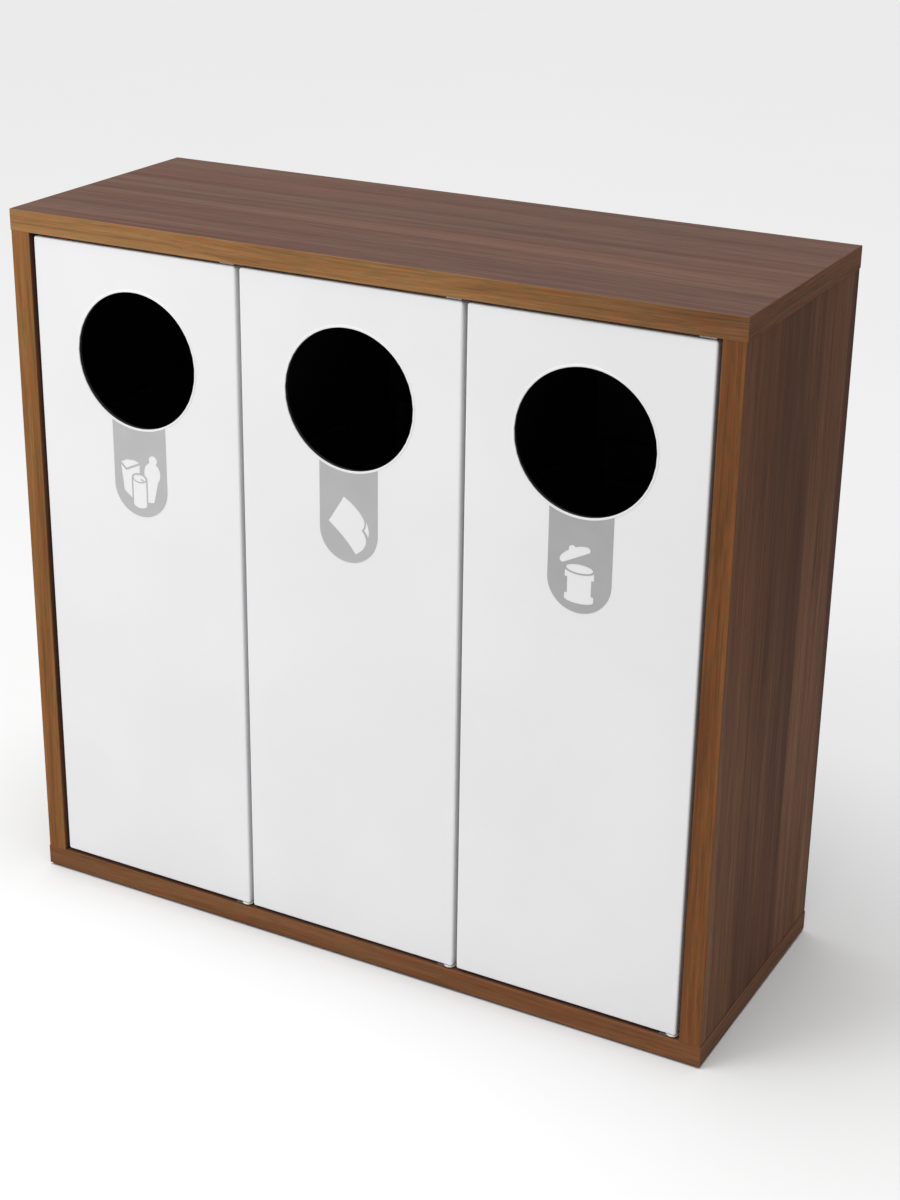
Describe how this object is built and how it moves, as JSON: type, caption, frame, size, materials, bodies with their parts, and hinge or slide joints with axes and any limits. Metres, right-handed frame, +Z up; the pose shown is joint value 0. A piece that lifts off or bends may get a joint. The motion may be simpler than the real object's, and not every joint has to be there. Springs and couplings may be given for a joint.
{
  "type": "litter bin",
  "caption": "Wood-finish cabinet litter bin with inset white steel doors on pivot hinges, round throw-in holes with film labels, and lift-out inner bins.",
  "frame": {"origin": "on the floor, under the middle of the cabinet", "axes": "+X to the right seen from the front, +Y towards the back (the doors face -Y), +Z up"},
  "size_m": [0.9, 0.334, 0.858],
  "materials": {
    "walnut_board": "matt wood-grain melamine on board",
    "walnut_edging": "satin wood-grain edging strip",
    "dark_board": "matt black melamine",
    "black_hardboard": "matt black hardboard",
    "beech": "turned beech",
    "zinc_casting": "die-cast zinc",
    "zinc_steel": "zinc-plated steel",
    "natural_nylon": "natural nylon",
    "grey_nylon": "grey nylon",
    "white_plastic": "white moulded plastic",
    "black_plastic": "black moulded plastic",
    "magnet_ferrite": "ferrite magnet between steel poles",
    "brass": "turned brass",
    "black_paint": "matt black powder coat",
    "white_powder_coat": "fine satin white powder coat",
    "grey_film": "matt grey self-adhesive film"
  },
  "bodies": {
    "cabinet": {"top_panel": "walnut_board", "bottom_panel": "walnut_board", "left_side_panel": "walnut_board", "right_side_panel": "walnut_board", "left_partition": "dark_board", "right_partition": "dark_board", "back_panel": "black_hardboard", "top_front_edging": "walnut_edging", "top_end_edgings": "walnut_edging", "bottom_front_edging": "walnut_edging", "bottom_end_edgings": "walnut_edging", "left_front_edging": "walnut_edging", "right_front_edging": "walnut_edging", "partition_edgings": "dark_board", "wood_dowels": "beech", "cam_bolts": "zinc_steel", "cam_housings": "zinc_casting", "back_panel_screws": "zinc_steel", "upper_hinge_plates": "zinc_steel", "lower_hinge_plates": "zinc_steel", "hinge_plate_screws": "zinc_steel", "lower_pivot_pins": "zinc_steel", "pivot_washers": "natural_nylon", "catch_housings": "white_plastic", "catch_magnets": "magnet_ferrite", "catch_screws": "zinc_steel", "foot_inserts": "brass", "left_bin": "black_paint", "middle_bin": "black_paint", "right_bin": "black_paint", "bail_lugs": "black_paint"},
    "left_door": {"left_door_pan": "white_powder_coat", "left_aperture_ring": "black_plastic", "left_label": "grey_film", "left_pivot_blocks": "grey_nylon", "left_upper_pin": "zinc_steel", "left_block_screws": "zinc_steel", "left_strike_plate": "zinc_steel"},
    "left_bail_arm": {"left_bail": "black_paint"},
    "middle_door": {"middle_door_pan": "white_powder_coat", "middle_aperture_ring": "black_plastic", "middle_label": "grey_film", "middle_pivot_blocks": "grey_nylon", "middle_upper_pin": "zinc_steel", "middle_block_screws": "zinc_steel", "middle_strike_plate": "zinc_steel"},
    "middle_bail_arm": {"middle_bail": "black_paint"},
    "right_door": {"right_door_pan": "white_powder_coat", "right_aperture_ring": "black_plastic", "right_label": "grey_film", "right_pivot_blocks": "grey_nylon", "right_upper_pin": "zinc_steel", "right_block_screws": "zinc_steel", "right_strike_plate": "zinc_steel"},
    "right_bail_arm": {"right_bail": "black_paint"},
    "front_left_leveller": {"front_left_foot": "black_plastic"},
    "front_right_leveller": {"front_right_foot": "black_plastic"},
    "back_left_leveller": {"back_left_foot": "black_plastic"},
    "back_right_leveller": {"back_right_foot": "black_plastic"}
  },
  "joints": [
    {"name": "left_door_hinge", "type": "hinge", "parent": "cabinet", "child": "left_door", "pos_m": [-0.149, -0.159, 0.4305], "axis": [0, 0, 1], "range_deg": [0, 95]},
    {"name": "middle_door_hinge", "type": "hinge", "parent": "cabinet", "child": "middle_door", "pos_m": [0.132, -0.159, 0.4305], "axis": [0, 0, 1], "range_deg": [0, 95]},
    {"name": "right_door_hinge", "type": "hinge", "parent": "cabinet", "child": "right_door", "pos_m": [0.413, -0.159, 0.4305], "axis": [0, 0, 1], "range_deg": [0, 95]},
    {"name": "left_bail_hinge", "type": "hinge", "parent": "cabinet", "child": "left_bail_arm", "pos_m": [-0.281, 0.00975, 0.6003], "axis": [-1, 0, 0], "range_deg": [0, 180]},
    {"name": "middle_bail_hinge", "type": "hinge", "parent": "cabinet", "child": "middle_bail_arm", "pos_m": [0, 0.00975, 0.6003], "axis": [-1, 0, 0], "range_deg": [0, 180]},
    {"name": "right_bail_hinge", "type": "hinge", "parent": "cabinet", "child": "right_bail_arm", "pos_m": [0.281, 0.00975, 0.6003], "axis": [-1, 0, 0], "range_deg": [0, 180]},
    {"name": "front_left_foot_screw", "type": "slide", "parent": "cabinet", "child": "front_left_leveller", "axis": [0, 0, -1], "range_m": [0, 0.01]},
    {"name": "front_right_foot_screw", "type": "slide", "parent": "cabinet", "child": "front_right_leveller", "axis": [0, 0, -1], "range_m": [0, 0.01]},
    {"name": "back_left_foot_screw", "type": "slide", "parent": "cabinet", "child": "back_left_leveller", "axis": [0, 0, -1], "range_m": [0, 0.01]},
    {"name": "back_right_foot_screw", "type": "slide", "parent": "cabinet", "child": "back_right_leveller", "axis": [0, 0, -1], "range_m": [0, 0.01]}
  ]
}
